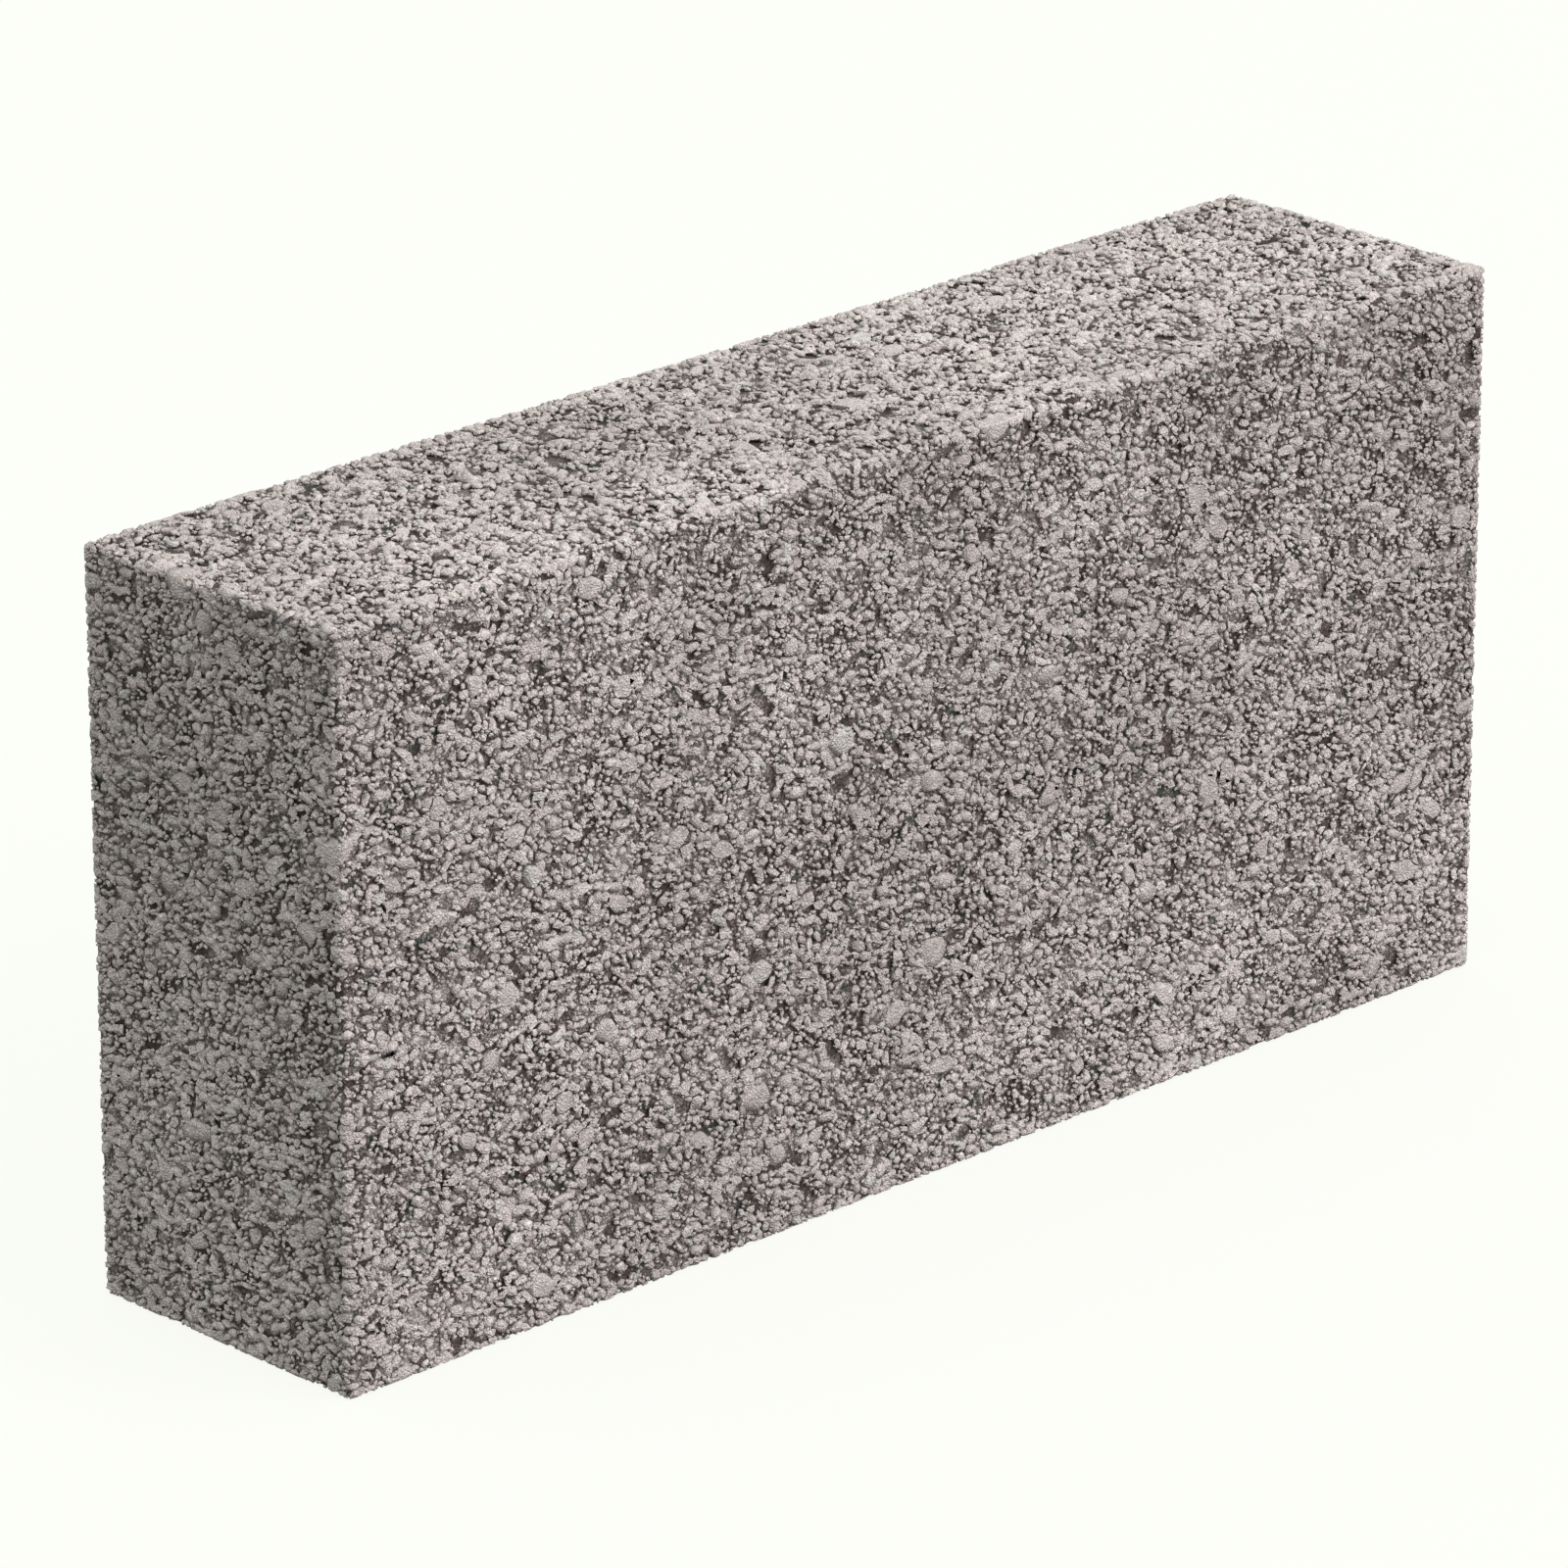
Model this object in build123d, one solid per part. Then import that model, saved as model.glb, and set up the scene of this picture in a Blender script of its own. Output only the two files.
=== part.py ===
from build123d import *
import os

# Plain solid concrete block, moulded as one piece, standing on its long narrow bed face.
# Millimetres: length along X, thickness along Y, height along Z, origin at the middle of the base.

# Work size: with a mortar joint it courses at 450 x 225 mm
LENGTH = 440.0
THICKNESS = 100.0
HEIGHT = 215.0

# Arrises rounded by the mould box and its tamper, and the tighter ones that stood on the pallet
ARRIS_RADIUS = 2.5
BASE_ARRIS_RADIUS = 1.5


def moulded_block() -> Part:
    """One block: the bed outline pressed to full height, then its arrises rounded.

    The upright and top arrises share a radius and meet in ball corners. The base arrises run
    round the foot of the finished uprights.
    """
    with BuildPart() as block:
        with BuildSketch(Plane.XY):
            Rectangle(LENGTH, THICKNESS)
        extrude(amount=HEIGHT)

        top_bed = block.faces().sort_by(Axis.Z)[-1]
        upright_arrises = block.edges().filter_by(Axis.Z)
        fillet(upright_arrises + top_bed.edges(), radius=ARRIS_RADIUS)

        bottom_bed = block.faces().sort_by(Axis.Z)[0]
        fillet(bottom_bed.edges(), radius=BASE_ARRIS_RADIUS)
    block.part.label = "block"
    return block.part


os.makedirs("parts", exist_ok=True)
export_step(moulded_block(), "parts/block.step")
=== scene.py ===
import sys
import logging
import math
from dataclasses import dataclass
from enum import Enum

import bpy
import numpy as np
from mathutils import Euler, Matrix, Vector


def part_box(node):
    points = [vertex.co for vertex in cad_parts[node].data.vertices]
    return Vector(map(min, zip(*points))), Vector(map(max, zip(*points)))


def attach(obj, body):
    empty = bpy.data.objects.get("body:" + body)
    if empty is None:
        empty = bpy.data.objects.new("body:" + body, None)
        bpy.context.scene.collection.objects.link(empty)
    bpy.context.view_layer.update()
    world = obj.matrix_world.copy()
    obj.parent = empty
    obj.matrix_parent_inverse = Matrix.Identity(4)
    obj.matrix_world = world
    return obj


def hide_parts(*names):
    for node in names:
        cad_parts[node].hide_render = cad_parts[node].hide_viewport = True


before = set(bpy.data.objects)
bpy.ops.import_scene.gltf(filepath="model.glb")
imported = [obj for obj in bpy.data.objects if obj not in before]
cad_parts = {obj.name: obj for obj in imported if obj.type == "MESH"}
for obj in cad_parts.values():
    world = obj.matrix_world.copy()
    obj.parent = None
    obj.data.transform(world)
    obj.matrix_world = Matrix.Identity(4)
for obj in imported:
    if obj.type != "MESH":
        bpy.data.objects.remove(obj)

log = logging.getLogger("concrete_block")

Array = np.ndarray
Colour = tuple[float, float, float]
Range = tuple[float, float]
Place = tuple[float, float, float]
Socket = bpy.types.NodeSocket

# Lengths are millimetres throughout, and are turned into metres where Blender takes them
MM = 0.001
CAD_NODE = "block"
BODY = "root"

# The name of each piece's own flat map, for its baked pictures
BAKE_MAP = "OFBake"

# The noise lattice is turned so that no face of the block lies along it
LATTICE_TURN = np.array(Euler((0.5, 0.7, 0.3)).to_matrix())
HALF = 0.5
TINY = 1e-6

# Odd constants and shifts that mix whole numbers into random ones
WORD = 2**32
AXIS_FACTORS = (0x8DA6B343, 0xD8163841, 0xCB1AB31F)
SEED_FACTOR = 0x9E3779B9
MIX_STEPS = ((15, 0x2C1B3C6D), (12, 0x297A2D39))
LAST_SHIFT = 15


class Side(Enum):
    """A face of the block: the axis it looks along, the end of that axis, and its two running axes."""

    FRONT = (1, 0, 0, 2)
    BACK = (1, 1, 0, 2)
    TOP = (2, 1, 0, 1)
    BOTTOM = (2, 0, 0, 1)
    LEFT = (0, 0, 1, 2)
    RIGHT = (0, 1, 1, 2)

    @property
    def facing(self) -> int:
        """Index of the axis that the face looks along."""
        return self.value[0]

    @property
    def far(self) -> bool:
        """Whether the face is at the high end of its axis."""
        return bool(self.value[1])

    @property
    def across(self) -> list[int]:
        """Indices of the two axes that run along the face."""
        return list(self.value[2:])


# Points on the envelope and radii of the grains, face by face
Beds = dict[Side, tuple[Array, Array]]

# Faces whose grains are joined in one piece
JOINED = {
    "front": (Side.FRONT,),
    "back": (Side.BACK,),
    "top": (Side.TOP,),
    "bottom": (Side.BOTTOM,),
    "ends": (Side.LEFT, Side.RIGHT),
}


@dataclass(frozen=True)
class Setting:
    """How grains and mortar sit in a face.

    Grains sink by a share of their radius, from and to, and some of them by more, in
    millimetres. The mortar's depth is a multiple of a moulded face's.
    """

    sink: Range
    uneven: float
    mortar: float


class Bedding(Enum):
    """How a face was formed: pressed flat by the mould or the pallet, or struck off open."""

    MOULDED = Setting(sink=(0.15, 0.62), uneven=0.85, mortar=1.0)
    STRUCK = Setting(sink=(0.3, 1.0), uneven=1.3, mortar=1.16)

    @classmethod
    def of(cls, side: Side) -> Setting:
        """The setting of a face: only the top is struck off."""
        return (cls.STRUCK if side is Side.TOP else cls.MOULDED).value


def unit_hash(ix: Array, iy: Array, iz: Array, seed: int) -> Array:
    """Repeatable random numbers for whole-number places.

    The three numbers are multiplied by odd constants and mixed by shifts, so that near
    places get unlike values.

    Args:
        ix, iy, iz: Whole-number coordinates.
        seed: Picks one of many independent sets.

    Returns:
        Numbers from 0 up to 1, one for each place.
    """
    mixed = np.full(len(ix), seed * SEED_FACTOR % WORD, dtype=np.uint32)
    for whole, factor in zip((ix, iy, iz), AXIS_FACTORS):
        mixed ^= whole.astype(np.uint32) * np.uint32(factor)
    for shift, factor in MIX_STEPS:
        mixed ^= mixed >> np.uint32(shift)
        mixed *= np.uint32(factor)
    mixed ^= mixed >> np.uint32(LAST_SHIFT)
    return mixed / float(WORD)


def smooth_noise(points: Array, size: float, seed: int) -> Array:
    """Value noise: random numbers at the corners of a cubic lattice, blended smoothly between them.

    Args:
        points: Places, one row each.
        size: Lattice spacing.
        seed: Picks the set of random numbers.

    Returns:
        Numbers from 0 to 1.
    """
    scaled = points @ LATTICE_TURN / size
    low = np.floor(scaled).astype(np.int64)
    t = scaled - low
    t = t * t * (3.0 - 2.0 * t)
    total = np.zeros(len(points))
    for corner in np.ndindex(2, 2, 2):
        share = np.where(corner, t, 1.0 - t).prod(axis=1)
        total += share * unit_hash(*(low + corner).T, seed)
    return total


def round_meet(a: Array, b: Array, radius: float) -> Array:
    """Distance to the region inside both a and b, with the edge between them rounded to a radius."""
    inner = np.minimum(np.maximum(a + radius, b + radius), 0.0)
    return inner + np.hypot(np.maximum(a + radius, 0.0), np.maximum(b + radius, 0.0)) - radius


@dataclass(frozen=True)
class BlockForm:
    """The moulded envelope that every grain stays inside, its arrises as tight as the grains leave them.

    The probe is the step that slopes are measured over, and rounds is how often a point is
    moved to settle it.
    """

    length: float
    thickness: float
    height: float
    arris: float = 2.1
    base_arris: float = 1.7
    probe: float = 0.01
    rounds: int = 3

    @classmethod
    def from_frame(cls) -> "BlockForm":
        """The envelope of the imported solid."""
        low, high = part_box(CAD_NODE)
        return cls(*(float(h - l) / MM for l, h in zip(low, high)))

    @property
    def low(self) -> Array:
        """Lowest corner of the envelope's box."""
        return np.array([-self.length / 2, -self.thickness / 2, 0.0])

    @property
    def high(self) -> Array:
        """Highest corner of the envelope's box."""
        return np.array([self.length / 2, self.thickness / 2, self.height])

    @property
    def size(self) -> Array:
        """Length, thickness and height."""
        return self.high - self.low

    def distance(self, points: Array) -> Array:
        """Signed distance from the rounded envelope, negative inside.

        The plan is a rectangle with rounded corners. It meets the top over the arris radius
        and the base over the tighter base radius.

        Args:
            points: Places, one row each.

        Returns:
            Millimetres outside the envelope.
        """
        half = np.array([self.length / 2, self.thickness / 2])
        q = np.abs(points[:, :2]) - (half - self.arris)
        plan = np.hypot(*np.maximum(q, 0.0).T) + np.minimum(q.max(axis=1), 0.0) - self.arris
        top = round_meet(plan, points[:, 2] - self.height, self.arris)
        base = round_meet(plan, -points[:, 2], self.base_arris)
        return np.maximum(top, base)

    def outward(self, points: Array) -> Array:
        """Unit outward directions: the distance's slope, by differences over a short probe.

        Args:
            points: Places, one row each.

        Returns:
            Unit vectors, one row each.
        """
        slope = np.empty_like(points)
        for axis in range(3):
            step = np.zeros(3)
            step[axis] = self.probe
            slope[:, axis] = self.distance(points + step) - self.distance(points - step)
        return slope / np.maximum(np.linalg.norm(slope, axis=1, keepdims=True), TINY)

    def from_arris(self, points: Array) -> Array:
        """How far points of the envelope lie from the nearest arris, measured along their face."""
        reach = np.sort(np.minimum(points - self.low, self.high - points), axis=1)
        return np.maximum(reach[:, 1], 0.0)

    def settle(self, points: Array) -> Array:
        """Points moved along the distance's slope, a few times, until they lie on the envelope.

        Args:
            points: Places near the envelope, one row each.

        Returns:
            Places on the envelope.
        """
        for _ in range(self.rounds):
            points = points - self.distance(points)[:, None] * self.outward(points)
        return points


@dataclass(frozen=True)
class BakeSheet:
    """Where faces lie side by side on a flat square, so that baked pictures follow the faces.

    Each face comes once a layer. The margin is how far points may lie beyond their face's edge,
    and tries is how many row widths are compared.
    """

    form: BlockForm
    sides: tuple[Side, ...]
    layers: int = 1
    gap: float = 4.0
    margin: float = 1.3
    tries: int = 40

    def shelves(self, width: float) -> tuple[list[Range], float]:
        """Rectangles laid from left to right in rows no wider than a width.

        Args:
            width: The most that a row may take.

        Returns:
            Each rectangle's lower corner, layer by layer, and the side of the square they need.
        """
        places, along, up, tall, widest = [], self.gap, self.gap, 0.0, 0.0
        for side in self.sides * self.layers:
            rise, run = self.form.size[side.across]
            if along > self.gap and along + run + self.gap > width:
                along, up, tall = self.gap, up + tall + self.gap, 0.0
            places.append((along, up))
            along, tall = along + run + self.gap, max(tall, rise)
            widest = max(widest, along)
        return places, max(widest, up + tall + self.gap)

    def layout(self) -> tuple[list[Range], float]:
        """The tightest of several row widths."""
        widths = np.linspace(self.form.thickness, self.form.length * 2, self.tries)
        return min((self.shelves(w) for w in widths), key=lambda found: found[1])

    def flatten(self, side: Side, points: Array, layer: Array | int = 0) -> Array:
        """Flat places of points on a face, its second axis across and its first axis up.

        Args:
            side: The face.
            points: Places near the face, in rows of any shape.
            layer: Which copy of the face each row goes to.

        Returns:
            Places from 0 to 1.
        """
        corners, whole = self.layout()
        turned = side.across[::-1]
        local = points[..., turned] - self.form.low[turned]
        local = np.clip(local, -self.margin, self.form.size[turned] + self.margin)
        corner = np.array(corners)[np.asarray(layer) * len(self.sides) + self.sides.index(side)]
        return (local + corner) / whole


def new_piece(name: str, vertices: Array, faces: Array, smooth: Array | bool) -> bpy.types.Object:
    """A mesh object at the origin, with its place in its mesh.

    Args:
        name: The piece's name.
        vertices: Places in millimetres, one row each.
        faces: Vertex indices, one row a face.
        smooth: Whether shading runs on over the edges, for all faces or one by one.

    Returns:
        The linked object.
    """
    mesh = bpy.data.meshes.new(name)
    mesh.vertices.add(len(vertices))
    mesh.vertices.foreach_set("co", (vertices * MM).astype(np.float32).ravel())
    mesh.loops.add(faces.size)
    mesh.loops.foreach_set("vertex_index", faces.astype(np.int32).ravel())
    mesh.polygons.add(len(faces))
    mesh.polygons.foreach_set("loop_start", np.arange(len(faces), dtype=np.int32) * faces.shape[1])
    mesh.update(calc_edges=True)
    mesh.polygons.foreach_set("use_smooth", np.broadcast_to(smooth, len(faces)).astype(bool))
    piece = bpy.data.objects.new(name, mesh)
    bpy.context.scene.collection.objects.link(piece)
    return piece


def set_value(piece: bpy.types.Object, name: str, values: Array) -> None:
    """Stores one number for each vertex of a piece."""
    layer = piece.data.attributes.new(name, "FLOAT", "POINT")
    layer.data.foreach_set("value", values.astype(np.float32))


def set_bake_map(piece: bpy.types.Object, places: Array) -> None:
    """Stores the flat places of a piece's face corners, for its baked pictures."""
    layer = piece.data.uv_layers.new(name=BAKE_MAP)
    layer.uv.foreach_set("vector", places.astype(np.float32).ravel())


def rgba(colour: Colour) -> tuple[float, float, float, float]:
    """A solid colour for a socket."""
    return (*colour, 1.0)


class Graph:
    """Adds nodes to a tree and joins them, so that a finish reads as a list of steps."""

    def __init__(self, tree: bpy.types.NodeTree) -> None:
        """Keeps the tree that the nodes go into."""
        self.tree = tree

    def add(self, kind: str, settings: dict | None = None, **inputs: object) -> bpy.types.Node:
        """One node, with its settings and inputs.

        Args:
            kind: Blender's name for the node.
            settings: Values of the node's own properties.
            **inputs: Sockets to link or constants to set, with _ for a space in a socket's name.

        Returns:
            The new node.
        """
        node = self.tree.nodes.new(kind)
        for key, value in (settings or {}).items():
            setattr(node, key, value)
        for key, value in inputs.items():
            self.put(node.inputs[key.replace("_", " ")], value)
        return node

    def put(self, socket: Socket, value: object) -> None:
        """Feeds a socket.

        Args:
            socket: The input.
            value: An output to link it to, or a constant.
        """
        if isinstance(value, Socket):
            self.tree.links.new(value, socket)
        else:
            socket.default_value = value

    def sum(self, kind: str, operation: str, values: tuple) -> Socket:
        """One sum on numbers or vectors.

        Args:
            kind: Blender's name for the node.
            operation: Its name for the sum.
            values: What goes in, in order.

        Returns:
            The result.
        """
        node = self.add(kind, {"operation": operation})
        for socket, value in zip(node.inputs, values):
            self.put(socket, value)
        return node.outputs[0]

    def maths(self, operation: str, *values: object) -> Socket:
        """The result of one sum on numbers."""
        return self.sum("ShaderNodeMath", operation, values)

    def vector(self, operation: str, *values: object) -> Socket:
        """The result of one sum on vectors."""
        return self.sum("ShaderNodeVectorMath", operation, values)

    def ramp(self, value: object, span: tuple[object, object], levels: Range = (0.0, 1.0)) -> Socket:
        """A smooth step from one level to another.

        Args:
            value: The number that drives it.
            span: Where the step starts and ends.
            levels: The results at the start and at the end.

        Returns:
            The result.
        """
        smooth = {"interpolation_type": "SMOOTHSTEP"}
        limits = {"From_Min": span[0], "From_Max": span[1], "To_Min": levels[0], "To_Max": levels[1]}
        return self.add("ShaderNodeMapRange", smooth, Value=value, **limits).outputs["Result"]

    def blend(self, share: object, a: object, b: object, mode: str = "MIX") -> Socket:
        """Two colours mixed.

        Args:
            share: How much of the second there is.
            a, b: The colours.
            mode: Blender's name for the way they mix.

        Returns:
            The mixed colour.
        """
        node = self.add("ShaderNodeMix", {"data_type": "RGBA", "blend_type": mode})
        inputs = [socket for socket in node.inputs if socket.enabled]
        for socket, value in zip(inputs, (share, a, b)):
            self.put(socket, value)
        return next(socket for socket in node.outputs if socket.enabled)

    def noise(self, place: object, size: float, detail: float = 1.0) -> bpy.types.Node:
        """Soft noise with features of a given size in millimetres."""
        return self.add("ShaderNodeTexNoise", Vector=place, Scale=1.0 / (size * MM), Detail=detail)

    def attribute(self, name: str) -> Socket:
        """A number stored on the piece's vertices."""
        return self.add("ShaderNodeAttribute", {"attribute_name": name}).outputs["Fac"]

    def object_place(self) -> Socket:
        """The place on the object."""
        return self.add("ShaderNodeTexCoord").outputs["Object"]


@dataclass(frozen=True)
class CementGrain:
    """The grain that every concrete surface shares, as a shader node group built once.

    Sizes and reach are millimetres, and widths are shares of a cell.
    """

    wander_size: float = 2.2
    wander_reach: float = 1.1
    closing_size: float = 3.0
    closing_span: Range = (0.38, 0.62)
    closing_widths: Range = (0.25, 1.6)
    fine_size: float = 0.67
    fine_detail: float = 2.0
    fine_relief: float = 0.45
    dome_width: float = 0.35

    def group(self) -> bpy.types.NodeTree:
        """The node group.

        A cell pattern on coordinates that wander gives packed grains. Places near a cell's edge
        are gaps that the finishes paint shade into; a slower noise closes some. Fine noise roughens all
        of it.

        Returns:
            A group with the inputs Size (metres) and Width (share of a cell), and the outputs
            Gap, Tone, Mottle and Height.
        """
        tree = bpy.data.node_groups.new("cement_grain", "ShaderNodeTree")
        for name in ("Size", "Width"):
            tree.interface.new_socket(name, in_out="INPUT", socket_type="NodeSocketFloat")
        for name in ("GapShade", "Tone", "Mottle", "Height"):
            tree.interface.new_socket(name, in_out="OUTPUT", socket_type="NodeSocketFloat")
        g = Graph(tree)
        given = g.add("NodeGroupInput").outputs
        place = g.object_place()
        centred = g.vector("SUBTRACT", g.noise(place, self.wander_size).outputs["Color"], (HALF,) * 3)
        wandering = g.vector("ADD", place, g.vector("MULTIPLY", centred, (self.wander_reach * MM,) * 3))
        cells = {"Vector": wandering, "Scale": g.maths("DIVIDE", 1.0, given["Size"])}
        edge = g.add("ShaderNodeTexVoronoi", {"feature": "DISTANCE_TO_EDGE"}, **cells)
        cell = g.add("ShaderNodeTexVoronoi", {"feature": "F1"}, **cells)
        closing = g.noise(place, self.closing_size).outputs["Fac"]
        fine = g.noise(place, self.fine_size, self.fine_detail).outputs["Fac"]
        open_share = g.ramp(closing, self.closing_span, self.closing_widths)
        width = g.maths("MULTIPLY", given["Width"], open_share)
        from_edge = edge.outputs["Distance"]
        # The gap mask, 1 at a cell's edge: the finishes paint shade there
        gap = g.ramp(from_edge, (0.0, width), (1.0, 0.0))
        tone = g.add("ShaderNodeSeparateColor", Color=cell.outputs["Color"]).outputs["Red"]
        dome = g.ramp(from_edge, (0.0, self.dome_width))
        height = g.maths("MULTIPLY_ADD", fine, self.fine_relief, dome)
        out = g.add("NodeGroupOutput")
        for name, value in (("GapShade", gap), ("Tone", tone), ("Mottle", fine), ("Height", height)):
            g.put(out.inputs[name], value)
        return tree


@dataclass(frozen=True)
class ConcreteFinish:
    """Grey, slightly pink concrete with a few greenish grains, and painted shade, brown-black, where it
    lies deep and between grains.

    A span says where a step starts and ends: the painted shade's one in millimetres of depth, the
    others in noise or tone from 0 to 1. Mottle and drift are the brightness from and to.
    """

    name: str
    cell_size: float
    gap_width: float
    gap_shade_strength: float
    shade_depth_span: Range
    bump: float = 0.9
    dull: Colour = (0.465, 0.41, 0.393)
    pale: Colour = (0.595, 0.532, 0.513)
    green: Colour = (0.47, 0.50, 0.47)
    green_span: Range = (0.90, 0.95)
    green_share: float = 0.28
    # Painted shade: the colours that deep places and the gaps between grains are darkened to, greenish
    # in patches
    void_shade: Colour = (0.058, 0.042, 0.037)
    mossy_void_shade: Colour = (0.034, 0.040, 0.035)
    moss_size: float = 9.0
    moss_span: Range = (0.6, 0.7)
    noise_span: Range = (0.3, 0.7)
    mottle: Range = (0.80, 1.14)
    drift_size: float = 80.0
    drift: Range = (0.91, 1.09)
    fray: float = 1.6
    relief: float = 0.4
    roughness: float = 0.92
    specular: float = 0.15

    def material(self, cement: bpy.types.NodeTree) -> bpy.types.Material:
        """The finish as a material: grain tone, painted shade in the gaps and where it lies deep, and
        fine relief.

        Args:
            cement: The shared grain group.

        Returns:
            The new material.
        """
        paint = bpy.data.materials.new(self.name)
        paint.use_nodes = True
        g = Graph(paint.node_tree)
        shader = paint.node_tree.nodes["Principled BSDF"].inputs
        g.put(shader["Roughness"], self.roughness)
        g.put(shader["Specular IOR Level"], self.specular)
        shared = {"Size": self.cell_size * MM, "Width": self.gap_width}
        grain = g.add("ShaderNodeGroup", {"node_tree": cement}, **shared).outputs
        place = g.object_place()
        lit = self.lit_colour(g, grain, place)
        # Painted shade: deep places and the gaps between grains are darkened towards brown-black,
        # greenish in patches
        moss = g.ramp(g.noise(place, self.moss_size).outputs["Fac"], self.moss_span)
        shade_colour = g.blend(moss, rgba(self.void_shade), rgba(self.mossy_void_shade))
        uneven = g.maths("SUBTRACT", grain["Mottle"], HALF)
        frayed = g.maths("MULTIPLY_ADD", uneven, self.fray, g.attribute("depth"))
        gap = g.maths("MULTIPLY", grain["GapShade"], self.gap_shade_strength)
        # The painted shade's share: from the depth below the grain tops and from the gaps between grains
        hidden = g.maths("MAXIMUM", g.ramp(frayed, self.shade_depth_span), gap)
        g.put(shader["Base Color"], g.blend(hidden, lit, shade_colour))
        relief = {"Strength": self.bump, "Distance": self.relief * MM, "Height": grain["Height"]}
        g.put(shader["Normal"], g.add("ShaderNodeBump", **relief).outputs["Normal"])
        return paint

    def lit_colour(self, g: Graph, grain: bpy.types.bpy_prop_collection, place: Socket) -> Socket:
        """The colour of what lies near the surface.

        Each grain's own tone and the cell pattern's tone set where it lies between dull and
        pale. A few grains turn greenish. Fine mottling and a slow drift over the block change
        the brightness.

        Args:
            g: The material's graph.
            grain: The outputs of the shared grain group.
            place: The place on the object.

        Returns:
            The colour.
        """
        own_tone = g.attribute("tone")
        tone = g.maths("MULTIPLY", g.maths("ADD", grain["Tone"], own_tone), HALF)
        lit = g.blend(tone, rgba(self.dull), rgba(self.pale))
        lit = g.blend(g.ramp(own_tone, self.green_span, (0.0, self.green_share)), lit, rgba(self.green))
        drift = g.ramp(g.noise(place, self.drift_size).outputs["Fac"], self.noise_span, self.drift)
        speckle = g.maths("MULTIPLY", drift, g.ramp(grain["Mottle"], self.noise_span, self.mottle))
        channels = dict.fromkeys(("Red", "Green", "Blue"), speckle)
        grey = g.add("ShaderNodeCombineColor", **channels).outputs["Color"]
        return g.blend(1.0, lit, grey, "MULTIPLY")


@dataclass
class Casting:
    """What the block's sub-assemblies share: the envelope they lie in and the finish they wear."""

    form: BlockForm
    paint: bpy.types.Material

    def dress(self, piece: bpy.types.Object) -> bpy.types.Object:
        """Gives a piece its finish and ties it to the block.

        Args:
            piece: The new piece.

        Returns:
            The same piece.
        """
        piece.data.materials.append(self.paint)
        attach(piece, BODY)
        return piece


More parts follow.
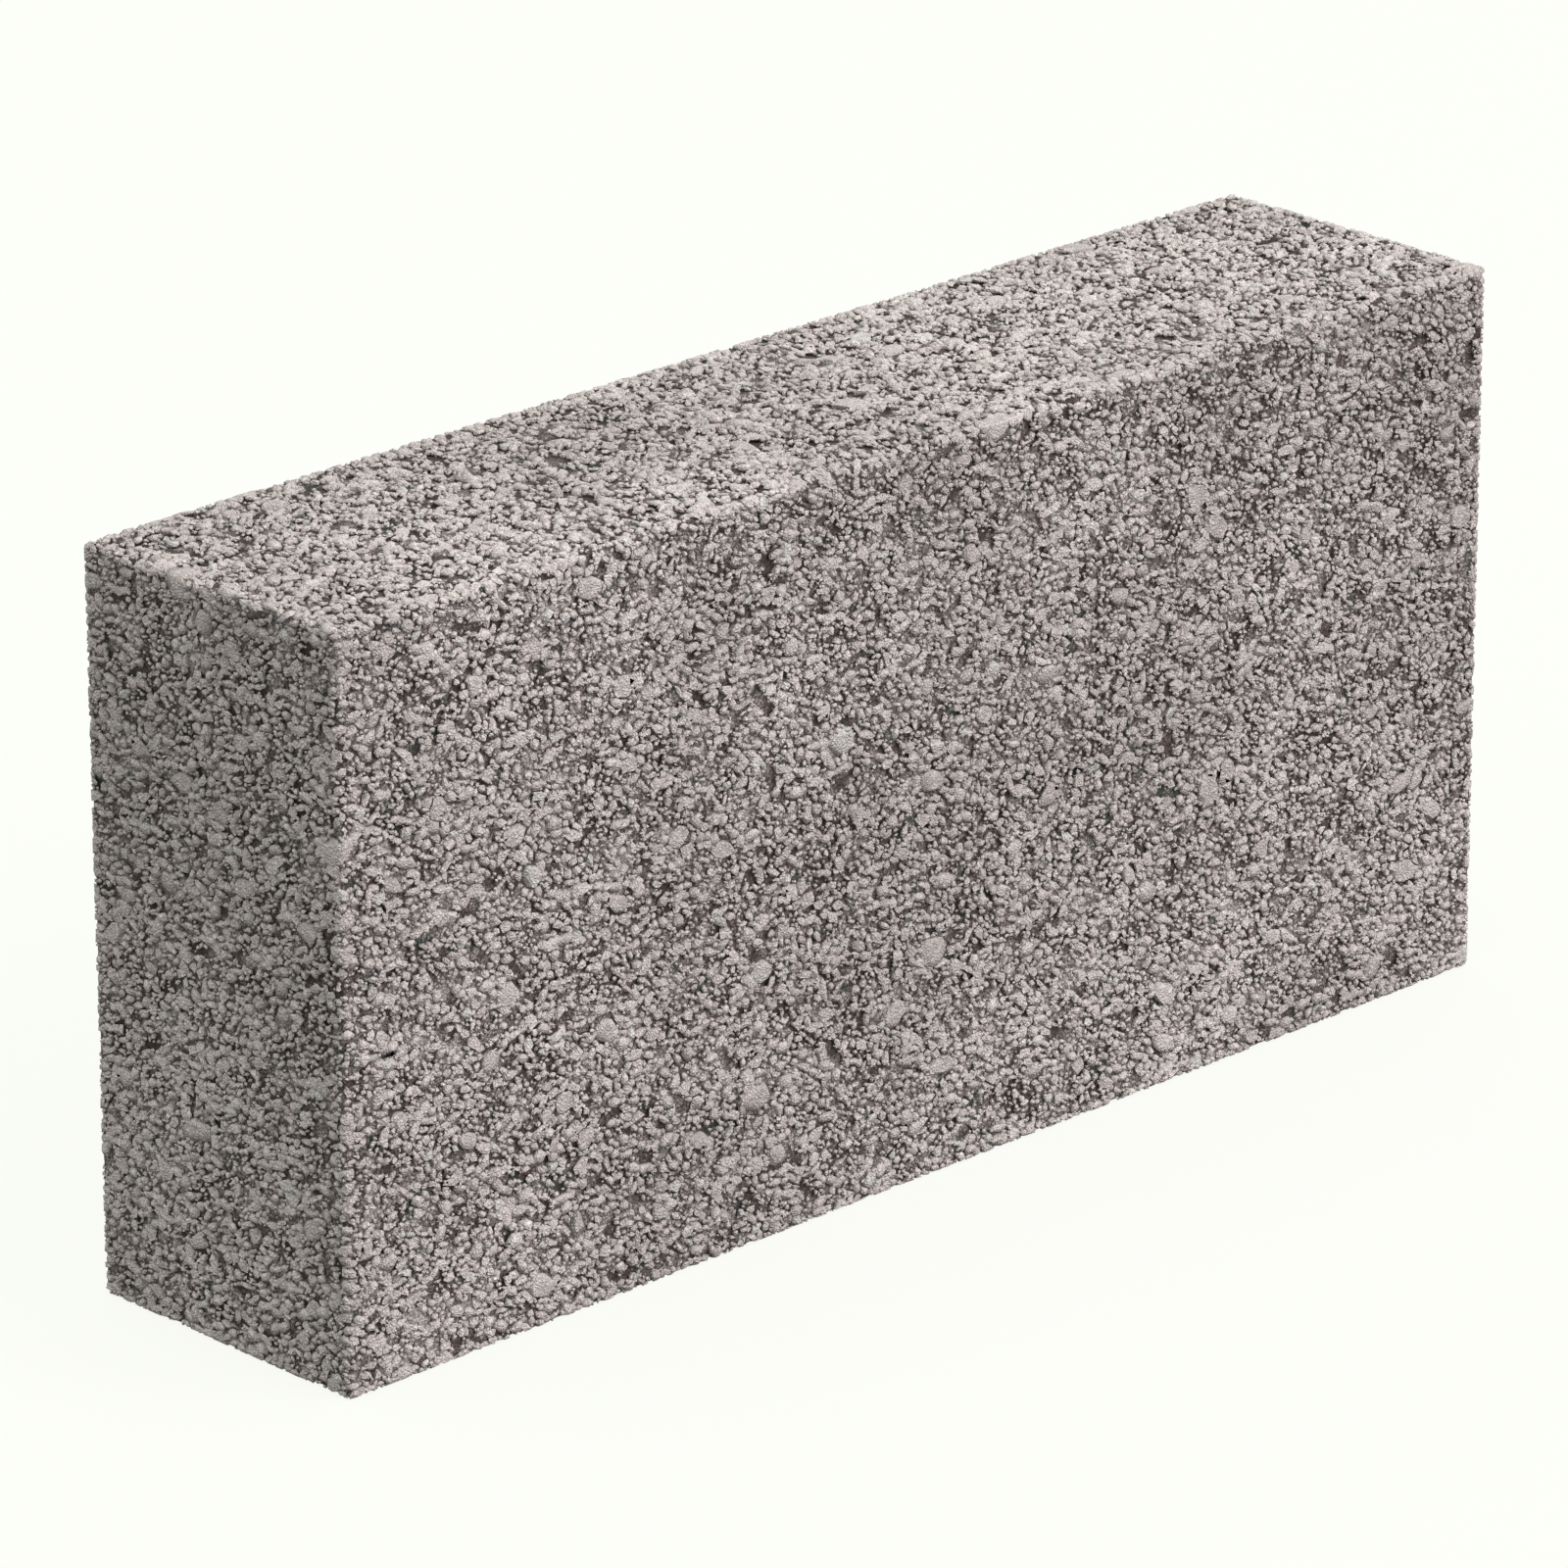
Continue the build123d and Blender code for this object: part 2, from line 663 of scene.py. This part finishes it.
@dataclass
class BlockBody(Casting):
    """The body behind the grit: a closed skin of fine mortar, lower than the grain tops.

    The jitter is the share of a grid step that a point may stray. Nearer to an arris than the
    reach, the recess falls, down to the arris share of it.
    """

    grid: float = 3.0
    jitter: float = 0.33
    least_depth: float = 0.55
    lump_size: float = 2.6
    lump_depth: float = 0.85
    patch_size: float = 4.5
    patch_depth: float = 0.55
    arris_reach: float = 4.0
    arris_share: float = 0.5
    nudge_seed: int = 11
    lump_seed: int = 16
    patch_seed: int = 17
    tone_seed: int = 19

    def __post_init__(self) -> None:
        """Counts the grid's steps along each axis."""
        self.counts = np.round(self.form.size / self.grid).astype(np.int64)
        self.step = self.form.size / self.counts

    def net(self) -> list[Array]:
        """Each face's squares as whole-number places on the box, facing out.

        Returns:
            For each face, squares x corners x axes.
        """
        squares = []
        for side in Side:
            a, b = side.across
            u, v = np.meshgrid(np.arange(self.counts[a]), np.arange(self.counts[b]), indexing="ij")
            corner = np.zeros(u.shape + (4, 3), dtype=np.int64)
            corner[..., side.facing] = side.far * self.counts[side.facing]
            for k, (du, dv) in enumerate(((0, 0), (1, 0), (1, 1), (0, 1))):
                corner[..., k, a] = u + du
                corner[..., k, b] = v + dv
            right_handed = (b - a) % 3 == 1
            if right_handed != side.far:
                corner = corner[..., ::-1, :]
            squares.append(corner.reshape(-1, 4, 3))
        return squares

    def skin(self, places: Array) -> Array:
        """The net's places laid on the envelope, each nudged along its face.

        Args:
            places: Whole-number places on the box.

        Returns:
            Points on the envelope.
        """
        points = self.form.low + places * self.step
        for axis in range(3):
            free = (places[:, axis] > 0) & (places[:, axis] < self.counts[axis])
            nudge = unit_hash(*places.T, self.nudge_seed + axis) * 2.0 - 1.0
            points[:, axis] += np.where(free, nudge * self.jitter * self.step[axis], 0.0)
        return self.form.settle(points)

    def recess(self, points: Array) -> Array:
        """How far the mortar lies below the grain tops: two sizes of noise, deeper on the struck top.

        Args:
            points: Points on the envelope.

        Returns:
            Depths in millimetres.
        """
        lumps = smooth_noise(points, self.lump_size, self.lump_seed) * self.lump_depth
        patches = smooth_noise(points, self.patch_size, self.patch_seed) * self.patch_depth
        upward = np.clip(self.form.outward(points)[:, 2], 0.0, 1.0)
        moulded, struck = Bedding.MOULDED.value.mortar, Bedding.STRUCK.value.mortar
        return (self.least_depth + patches + lumps) * (moulded + (struck - moulded) * upward)

    def build(self) -> bpy.types.Object:
        """The closed body mesh, shallower along the arrises, with a flat map of its six faces.

        Returns:
            The piece that stands for the solid.
        """
        squares = self.net()
        corners = np.concatenate(squares)
        span = self.counts + 1
        keys = corners[..., 0] + span[0] * (corners[..., 1] + span[1] * corners[..., 2])
        unique, faces = np.unique(keys, return_inverse=True)
        rest, along = np.divmod(unique, span[0])
        places = np.stack([along, rest % span[1], rest // span[1]], axis=1)
        points = self.skin(places)
        depth = self.recess(points)
        shallow = np.clip(self.form.from_arris(points) / self.arris_reach, self.arris_share, 1.0)
        points = points - self.form.outward(points) * (depth * shallow)[:, None]
        piece = new_piece("block_body", points, faces.reshape(-1, 4), True)
        # The depth below the grain tops, which the finish darkens into painted shade
        set_value(piece, "depth", depth)
        set_value(piece, "tone", smooth_noise(points, self.lump_size, self.tone_seed))
        sheet = BakeSheet(self.form, tuple(Side))
        flat = [sheet.flatten(side, self.form.low + c * self.step) for side, c in zip(Side, squares)]
        set_bake_map(piece, np.concatenate(flat))
        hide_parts(CAD_NODE)
        return self.dress(piece)


class Lump(Enum):
    """The unit solid that a grain is shaped from, by its count of triangles."""

    FINE = 8
    COARSE = 16
    STONE = 80

    def solid(self) -> tuple[Array, Array]:
        """The unit solid of this kind.

        Returns:
            Vertices on the unit ball and outward triangles.
        """
        shapes = {
            Lump.FINE: self.octahedron,
            Lump.COARSE: self.antiprism,
            Lump.STONE: self.split_icosahedron,
        }
        return shapes[self]()

    @staticmethod
    def octahedron() -> tuple[Array, Array]:
        """Six points on the axes, with four triangles above and four below.

        Returns:
            Vertices and triangles.
        """
        upper = [[0, 1, 2], [1, 3, 2], [3, 4, 2], [4, 0, 2]]
        lower = [[1, 0, 5], [3, 1, 5], [4, 3, 5], [0, 4, 5]]
        return np.concatenate([np.eye(3), -np.eye(3)]), np.array(upper + lower)

    @staticmethod
    def antiprism(ring: int = 4, tilt: float = 0.5) -> tuple[Array, Array]:
        """A top point, two rings of points turned by half a step, and a bottom point.

        Args:
            ring: How many points a ring has.
            tilt: The rings' latitude in radians.

        Returns:
            Vertices and triangles.
        """
        flat, rise = math.cos(tilt), np.full(ring, math.sin(tilt))
        k = np.arange(ring)
        turn = k * math.pi * 2 / ring
        upper = np.stack([np.cos(turn) * flat, np.sin(turn) * flat, rise], axis=1)
        turn = turn + math.pi / ring
        lower = np.stack([np.cos(turn) * flat, np.sin(turn) * flat, -rise], axis=1)
        v = np.concatenate([[[0, 0, 1]], upper, lower, [[0, 0, -1]]])
        high, low = 1 + k, 1 + ring + k
        next_high, next_low = np.roll(high, -1), np.roll(low, -1)
        cap = np.stack([np.zeros_like(k), high, next_high], axis=1)
        down = np.stack([high, low, next_high], axis=1)
        up = np.stack([low, next_low, next_high], axis=1)
        foot = np.stack([np.full_like(k, len(v) - 1), next_low, low], axis=1)
        return v, np.concatenate([cap, down, up, foot])

    @staticmethod
    def split_icosahedron() -> tuple[Array, Array]:
        """Twelve points on three golden rectangles, with each triangle between them split in four.

        Returns:
            Vertices and triangles.
        """
        g = (1 + math.sqrt(5)) / 2
        v = np.array([[-1, g, 0], [1, g, 0], [-1, -g, 0], [1, -g, 0], [0, -1, g], [0, 1, g], [0, -1, -g],
                      [0, 1, -g], [g, 0, -1], [g, 0, 1], [-g, 0, -1], [-g, 0, 1]]) / math.hypot(1, g)
        f = np.array([[0, 11, 5], [0, 5, 1], [0, 1, 7], [0, 7, 10], [0, 10, 11], [1, 5, 9], [5, 11, 4],
                      [11, 10, 2], [10, 7, 6], [7, 1, 8], [3, 9, 4], [3, 4, 2], [3, 2, 6], [3, 6, 8],
                      [3, 8, 9], [4, 9, 5], [2, 4, 11], [6, 2, 10], [8, 6, 7], [9, 8, 1]])
        edges = np.sort(f[:, [[0, 1], [1, 2], [2, 0]]].reshape(-1, 2), axis=1)
        unique, index = np.unique(edges, axis=0, return_inverse=True)
        middle = v[unique].mean(axis=1)
        middle /= np.linalg.norm(middle, axis=1, keepdims=True)
        m = index.reshape(-1, 3) + len(v)
        split = [np.stack([f[:, k], m[:, k], m[:, k - 1]], axis=1) for k in range(3)]
        return np.concatenate([v, middle]), np.concatenate([*split, m])


@dataclass
class Bed:
    """Grains of one kind on one face: flat places and radii, in the grid that they started from.

    Strayed is the number of grid cells that a grain may have moved from its own.
    """

    places: Array
    radii: Array
    cell: Array
    strayed: int = 3

    def shifted(self, reach: int) -> list[tuple[Array, Array]]:
        """The bed moved by each step of a square neighbourhood.

        Args:
            reach: Grid steps on each side.

        Returns:
            Places and radii for each step, with zeros beyond the bed.
        """
        n, m = self.radii.shape
        places = np.pad(self.places, ((reach, reach), (reach, reach), (0, 0)))
        radii = np.pad(self.radii, reach)
        steps = np.ndindex(2 * reach + 1, 2 * reach + 1)
        return [(places[i:i + n, j:j + m], radii[i:i + n, j:j + m]) for i, j in steps]

    def crowding(self, other: "Bed", reach: int, room: float) -> Array:
        """How far each grain is pushed by another bed's grains that come too near.

        Each neighbour pushes straight away from itself, by what is missing from the two radii
        times the room between grains.

        Args:
            other: The bed that pushes, started from the same grid.
            reach: Grid steps to look on each side.
            room: Wanted distance as a share of the two radii together.

        Returns:
            A push for each grain.
        """
        push = np.zeros_like(self.places)
        for places, radii in other.shifted(reach):
            apart = self.places - places
            gap = np.linalg.norm(apart, axis=2)
            short = np.maximum((self.radii + radii) * room - gap, 0.0) * (gap > TINY) * (radii > 0)
            push += apart / np.maximum(gap, TINY)[..., None] * short[..., None]
        return push

    def buried(self, other: "Bed", reach: int) -> Array:
        """How deep each grain's middle lies inside the nearest grain of another bed.

        Args:
            other: The bed to look in, started from the same grid.
            reach: Grid steps to look on each side.

        Returns:
            Depths, negative outside.
        """
        around = other.shifted(reach)
        depths = [radii - np.linalg.norm(self.places - places, axis=2) for places, radii in around]
        return np.max(depths, axis=0)

    def step_out(self, middle: Array, run: Array, radius: float, room: float) -> None:
        """Moves the grains out of a round-ended slot.

        Only grains whose grid cell is near the slot are looked at, with a few cells more for
        those that have strayed.

        Args:
            middle: The slot's middle.
            run: From the middle to either end of its centre line.
            radius: Half the slot's width.
            room: Share of a grain's own radius that is kept clear too.
        """
        across = np.linalg.norm(run) + radius + self.radii.max()
        reach = np.ceil(across / self.cell).astype(int) + self.strayed
        low = np.maximum((middle / self.cell).astype(int) - reach, 0)
        near = tuple(slice(a, a + 2 * r + 1) for a, r in zip(low, reach))
        apart = self.places[near] - middle
        along = np.clip((apart @ run) / max(run @ run, TINY), -1.0, 1.0)
        apart = apart - along[..., None] * run
        gap = np.maximum(np.linalg.norm(apart, axis=2), TINY)
        short = np.maximum(self.radii[near] * room + radius - gap, 0.0)
        self.places[near] += apart / gap[..., None] * short[..., None]


@dataclass
class FacePacking:
    """How one face's grains lie: sparse stones, coarse grains packed round them, fines in the gaps.

    A skew above 1 makes more of the sizes small. A push is the share of the crowding that one
    round takes up, and a room is the wanted distance as a share of two radii. The clear pairs
    are the shares of a radius kept free at stones and at voids.
    """

    form: BlockForm
    side: Side
    spacing: float = 2.9
    coarse_radii: Range = (0.85, 2.4)
    coarse_skew: float = 1.6
    fine_radii: Range = (0.5, 0.95)
    fine_skew: float = 1.0
    stone_cell: float = 28.0
    stone_radii: Range = (2.0, 4.4)
    stone_skew: float = 1.3
    void_cell: float = 11.0
    void_radii: Range = (0.3, 1.6)
    void_skew: float = 2.4
    void_runs: Range = (0.2, 3.5)
    run_skew: float = 3.0
    rim: Range = (0.7, 2.1)
    rounds: int = 14
    reach: int = 2
    coarse_push: float = 0.45
    coarse_room: float = 0.82
    coarse_clear: Range = (0.9, 0.95)
    fine_push: float = 0.6
    fine_room: float = 0.85
    spread_push: float = 0.3
    spread_room: float = 0.9
    fine_clear: Range = (0.9, 0.7)
    hidden: float = 0.1
    seed: int = 5

    def __post_init__(self) -> None:
        """Starts the face's own random numbers, then lays the beds."""
        self.draw = np.random.default_rng([self.seed, list(Side).index(self.side)])
        self.size = self.form.size[self.side.across]
        self.stones = self.scatter(self.stone_cell, self.stone_radii, self.stone_skew)
        self.voids = self.scatter(self.void_cell, self.void_radii, self.void_skew)
        turn = self.draw.uniform(0.0, math.pi, self.voids.radii.shape)
        low, high = self.void_runs
        runs = low + (high - low) * self.draw.random(turn.shape) ** self.run_skew
        self.runs = np.stack([np.cos(turn) * runs, np.sin(turn) * runs], axis=2)
        self.coarse = self.scatter(self.spacing, self.coarse_radii, self.coarse_skew)
        self.fines = self.scatter(self.spacing, self.fine_radii, self.fine_skew)
        self.pack()

    def scatter(self, cell: float, radii: Range, skew: float) -> Bed:
        """One grain at random in each cell of a grid.

        Args:
            cell: The grid's spacing, near enough.
            radii: Smallest and largest radius.
            skew: Power of the random numbers; above 1, more grains are small.

        Returns:
            The loose bed.
        """
        counts = np.maximum(np.round(self.size / cell).astype(int), 1)
        cells = np.stack(np.meshgrid(*map(np.arange, counts), indexing="ij"), axis=2)
        pitch = (self.size - 2 * self.rim[0]) / counts
        places = self.rim[0] + (cells + self.draw.random(cells.shape)) * pitch
        spread = self.draw.random(tuple(counts)) ** skew
        return Bed(places, radii[0] + (radii[1] - radii[0]) * spread, pitch)

    def clear(self, bed: Bed, room: Range, rim: Array) -> None:
        """Moves a bed's grains out from under the stones, out of the voids, and in from the arrises.

        Args:
            bed: The bed to move.
            room: Share of a radius kept clear at the stones and at the voids.
            rim: How far in from the face's edges each grain stays.
        """
        stone_room, void_room = room
        still = np.zeros(2)
        for middle, radius in zip(self.stones.places.reshape(-1, 2), self.stones.radii.ravel()):
            bed.step_out(middle, still, radius * stone_room, stone_room)
        voids = self.voids.places.reshape(-1, 2)
        for middle, run, radius in zip(voids, self.runs.reshape(-1, 2), self.voids.radii.ravel()):
            bed.step_out(middle, run, radius, void_room)
        bed.places = np.clip(bed.places, rim, self.size - rim)

    def pack(self) -> None:
        """Pushes the coarse grains apart, a little each round, then the fines out into the gaps."""
        coarse, fines = self.coarse, self.fines
        rim = self.draw.uniform(*self.rim, coarse.places.shape)
        for _ in range(self.rounds):
            coarse.places += self.coarse_push * coarse.crowding(coarse, self.reach, self.coarse_room)
            self.clear(coarse, self.coarse_clear, rim)
        for _ in range(self.rounds):
            fines.places += self.fine_push * fines.crowding(coarse, self.reach, self.fine_room)
            fines.places += self.spread_push * fines.crowding(fines, self.reach, self.spread_room)
            self.clear(fines, self.fine_clear, rim)

    def bedded(self, bed: Bed) -> tuple[Array, Array]:
        """A bed's grains on the envelope, without the fines that lie hidden in coarse grains.

        Args:
            bed: One of the face's beds.

        Returns:
            Points on the envelope and radii.
        """
        seen = np.ones(bed.radii.shape, dtype=bool)
        if bed is self.fines:
            seen = bed.buried(self.coarse, self.reach) < self.hidden
        flat = bed.places[seen]
        points = np.zeros((len(flat), 3))
        points[:, self.side.across] = flat + self.form.low[self.side.across]
        end = self.form.high if self.side.far else self.form.low
        points[:, self.side.facing] = end[self.side.facing]
        return self.form.settle(points), bed.radii[seen]


def random_turns(count: int, draw: np.random.Generator) -> Array:
    """Turns to any side, evenly spread: unit quaternions written out as matrices.

    Args:
        count: How many.
        draw: The piece's random numbers.

    Returns:
        Turns x rows x columns.
    """
    quats = draw.normal(size=(count, 4))
    quats /= np.linalg.norm(quats, axis=1, keepdims=True)
    w, x, y, z = quats.T
    turn = np.stack([1 - 2 * (y * y + z * z), 2 * (x * y - z * w), 2 * (x * z + y * w),
                     2 * (x * y + z * w), 1 - 2 * (x * x + z * z), 2 * (y * z - x * w),
                     2 * (x * z - y * w), 2 * (y * z + x * w), 1 - 2 * (x * x + y * y)], axis=1)
    return turn.reshape(-1, 3, 3)


@dataclass
class Grit(Casting):
    """Grains bedded in the block's faces: closed lumps, joined face by face.

    Knobs, stretch and cuts are shares of a lump's radius. Within the arris reach, sinking varies
    less, down to the open share of what it does elsewhere.
    """

    name: str
    lump: Lump
    knobs: float
    seed: int
    extra_sink: float = 0.0
    sink_skew: float = 3.0
    stretch: Range = (0.6, 1.6)
    cuts: Range = (0.5, 0.85)
    cut_count: int = 3
    rounded_share: float = 0.45
    tamped: Place = (1.08, 1.08, 0.9)
    arris_reach: float = 5.0
    arris_open: float = 0.5

    def shapes(self, count: int, draw: np.random.Generator) -> Array:
        """Unit lumps: stretched, knobbly, cut by planes and turned any way, then flattened by tamping.

        Args:
            count: How many.
            draw: The piece's random numbers.

        Returns:
            Lumps x vertices x axes.
        """
        unit, _ = self.lump.solid()
        lumps = unit[None] * draw.uniform(*self.stretch, (count, 1, 3))
        lumps = lumps * draw.uniform(1 - self.knobs, 1 + self.knobs, (count, len(unit), 1))
        for _ in range(self.cut_count):
            cut = draw.normal(size=(count, 1, 3))
            cut /= np.linalg.norm(cut, axis=2, keepdims=True)
            over = (lumps * cut).sum(axis=2, keepdims=True) - draw.uniform(*self.cuts, (count, 1, 1))
            lumps = lumps - np.maximum(over, 0.0) * cut
        return lumps @ random_turns(count, draw) * np.array(self.tamped)

    def sunk(self, side: Side, points: Array, radii: Array, draw: np.random.Generator) -> Array:
        """Middles of a face's grains, each sunk by a share of its radius, more evenly along the arrises.

        Args:
            side: The face.
            points: Points on the envelope.
            radii: The grains' radii.
            draw: The piece's random numbers.

        Returns:
            Middles, one row each.
        """
        setting = Bedding.of(side)
        moulded = Bedding.MOULDED.value.sink[1]
        open_share = np.clip(self.form.from_arris(points) / self.arris_reach, self.arris_open, 1.0)
        share = draw.uniform(setting.sink[0], moulded + (setting.sink[1] - moulded) * open_share)
        more = draw.random(len(points)) ** self.sink_skew * setting.uneven * open_share
        sink = radii * (share + self.extra_sink) + more
        return points - self.form.outward(points) * sink[:, None]

    def build(self, label: str, beds: Beds) -> bpy.types.Object:
        """The grains of some faces as one mesh of closed lumps.

        Whatever would stand proud of the envelope is pressed flat on it, as the mould presses it.

        Args:
            label: What the faces are called.
            beds: Points on the envelope and radii, face by face.

        Returns:
            The joined piece.
        """
        draw = np.random.default_rng([self.seed, *label.encode()])
        unit, triangles = self.lump.solid()
        middles = np.concatenate([self.sunk(side, *bed, draw) for side, bed in beds.items()])
        radii = np.concatenate([radii for _, radii in beds.values()])
        count = len(middles)
        vertices = (middles[:, None] + self.shapes(count, draw) * radii[:, None, None]).reshape(-1, 3)
        proud = np.maximum(self.form.distance(vertices), 0.0)
        vertices -= self.form.outward(vertices) * proud[:, None]
        faces = (triangles[None] + (np.arange(count) * len(unit))[:, None, None]).reshape(-1, 3)
        rounded = np.repeat(draw.random(count) < self.rounded_share, len(triangles))
        piece = new_piece(f"{self.name}_{label}", vertices, faces, rounded)
        # The depth below the envelope, which the finish darkens into painted shade
        set_value(piece, "depth", -self.form.distance(vertices))
        set_value(piece, "tone", np.repeat(draw.random(count), len(unit)))
        set_bake_map(piece, self.flat_places(vertices[faces], beds))
        return self.dress(piece)

    def flat_places(self, corners: Array, beds: Beds) -> Array:
        """Flat places of every face corner, with the grains' undersides on a layer of their own.

        Args:
            corners: Triangles x corners x axes, in the order of the beds.
            beds: Points and radii, face by face.

        Returns:
            Places from 0 to 1, one row a corner.
        """
        sheet = BakeSheet(self.form, tuple(beds), layers=2)
        ends = np.cumsum([len(points) for points, _ in beds.values()]) * self.lump.value
        flat = []
        for side, part in zip(beds, np.split(corners, ends[:-1])):
            normals = np.cross(part[:, 1] - part[:, 0], part[:, 2] - part[:, 0])
            outwards = normals[:, side.facing] * (1 if side.far else -1)
            under = (outwards <= 0).astype(int)
            flat.append(sheet.flatten(side, part, under[:, None]).reshape(-1, 2))
        return np.concatenate(flat)


@dataclass(frozen=True)
class Studio:
    """Floor, light and camera, with the camera where the photograph was taken from.

    Angles are degrees. The key lamp stands away from what it aims at, in the direction that it
    shines from.
    """

    azimuth: float = -44.264
    elevation: float = 20.742
    roll: float = -0.102
    distance: float = 2610.0
    target: Place = (-6.01, 5.97, 101.76)
    lens: float = 215.90
    sensor: float = 36.0
    far_clip: float = 100_000.0
    floor_reach: float = 8000.0
    floor_drop: float = 0.1
    floor_shade: Colour = (0.05, 0.05, 0.05)
    floor_roughness: float = 1.0
    floor_specular: float = 0.0
    floor_glow: Colour = (0.899, 0.908, 0.864)
    floor_glow_strength: float = 1.0
    dome_high: Colour = (1.56, 1.63, 1.59)
    dome_low: Colour = (0.06, 0.06, 0.06)
    dome_span: Range = (-0.7, 1.0)
    key_colour: Colour = (1.0, 0.955, 0.975)
    key_from: Place = (0.33, -0.76, 0.49)
    key_aim: Place = (0.0, 0.0, 100.0)
    key_away: float = 6000.0
    key_size: float = 4500.0
    key_watts: float = 302.0

    def camera(self) -> None:
        """A long lens looking down on the front, the left end and the top."""
        az, el = math.radians(self.azimuth), math.radians(self.elevation)
        back = Vector((math.sin(az) * math.cos(el), -math.cos(az) * math.cos(el), math.sin(el)))
        lens = bpy.data.cameras.new("camera")
        lens.lens = self.lens
        lens.sensor_width = self.sensor
        lens.clip_end = self.far_clip * MM
        camera = bpy.data.objects.new("camera", lens)
        turn = back.to_track_quat("Z", "Y").to_matrix().to_4x4()
        roll = Matrix.Rotation(math.radians(self.roll), 4, "Z")
        place = (Vector(self.target) + back * self.distance) * MM
        camera.matrix_world = Matrix.Translation(place) @ turn @ roll
        bpy.context.scene.collection.objects.link(camera)
        bpy.context.scene.camera = camera

    def floor(self) -> None:
        """A plain pale floor, a hair below the block, that glows evenly so that shadows hardly show."""
        corners = np.array([[-1, -1, 0], [1, -1, 0], [1, 1, 0], [-1, 1, 0]]) * self.floor_reach
        corners[:, 2] -= self.floor_drop
        floor = new_piece("floor", corners, np.array([[0, 1, 2, 3]]), False)
        paint = bpy.data.materials.new("pale_floor")
        paint.use_nodes = True
        shader = paint.node_tree.nodes["Principled BSDF"].inputs
        shader["Base Color"].default_value = rgba(self.floor_shade)
        shader["Roughness"].default_value = self.floor_roughness
        shader["Specular IOR Level"].default_value = self.floor_specular
        shader["Emission Color"].default_value = rgba(self.floor_glow)
        shader["Emission Strength"].default_value = self.floor_glow_strength
        floor.data.materials.append(paint)
        floor.visible_diffuse = False

    def lights(self) -> None:
        """A soft dome, brighter overhead, and one broad lamp in front, a little to the right."""
        world = bpy.data.worlds.new("dome")
        bpy.context.scene.world = world
        world.use_nodes = True
        g = Graph(world.node_tree)
        towards = g.add("ShaderNodeTexCoord").outputs["Generated"]
        up = g.add("ShaderNodeSeparateXYZ", Vector=towards).outputs["Z"]
        sky = g.blend(g.ramp(up, self.dome_span), rgba(self.dome_low), rgba(self.dome_high))
        g.put(world.node_tree.nodes["Background"].inputs["Color"], sky)
        lamp = bpy.data.lights.new("key", "AREA")
        lamp.shape = "DISK"
        lamp.size = self.key_size * MM
        lamp.energy = self.key_watts
        lamp.color = self.key_colour
        key = bpy.data.objects.new("key", lamp)
        away = Vector(self.key_from).normalized()
        place = (Vector(self.key_aim) + away * self.key_away) * MM
        key.matrix_world = Matrix.Translation(place) @ away.to_track_quat("Z", "Y").to_matrix().to_4x4()
        bpy.context.scene.collection.objects.link(key)

    def build(self) -> None:
        """Everything round the object."""
        self.camera()
        self.floor()
        self.lights()
        bpy.context.scene.view_settings.view_transform = "Standard"


def main() -> None:
    """Builds the block and its studio."""
    logging.basicConfig(level=logging.INFO, format="%(message)s", stream=sys.stdout)
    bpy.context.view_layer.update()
    form = BlockForm.from_frame()
    cement = CementGrain().group()
    # Each finish paints shade below a depth span and in the gaps between grains
    mortar = ConcreteFinish("mortar", cell_size=1.5, gap_width=0.16, gap_shade_strength=1.0,
                            shade_depth_span=(0.6, 1.5))
    grain = ConcreteFinish("grain", cell_size=1.0, gap_width=0.10, gap_shade_strength=0.30,
                           shade_depth_span=(0.7, 1.7))
    stone = ConcreteFinish("stone", cell_size=1.0, gap_width=0.10, gap_shade_strength=0.40,
                           shade_depth_span=(0.8, 3.0), dull=(0.43, 0.382, 0.365), pale=(0.56, 0.50, 0.483))
    grained = grain.material(cement)

    pieces = [BlockBody(form, mortar.material(cement)).build()]
    packed = {side: FacePacking(form, side) for side in Side}
    coarse = Grit(form, grained, "grit", Lump.COARSE, knobs=0.36, seed=101)
    fines = Grit(form, grained, "fines", Lump.FINE, knobs=0.2, seed=202, extra_sink=0.25)
    stones = Grit(form, stone.material(cement), "stones", Lump.STONE, knobs=0.11, seed=303,
                  extra_sink=0.06)
    for label, sides in JOINED.items():
        pieces.append(coarse.build(label, {s: packed[s].bedded(packed[s].coarse) for s in sides}))
        pieces.append(fines.build(label, {s: packed[s].bedded(packed[s].fines) for s in sides}))
    pieces.append(stones.build("all", {s: packed[s].bedded(packed[s].stones) for s in Side}))

    total = 0
    for piece in pieces:
        count = sum(len(face.vertices) - 2 for face in piece.data.polygons)
        total += count
        log.info("%s: %d triangles", piece.name, count)
    log.info("all pieces: %d triangles", total)
    Studio().build()


if __name__ == "__main__":
    main()
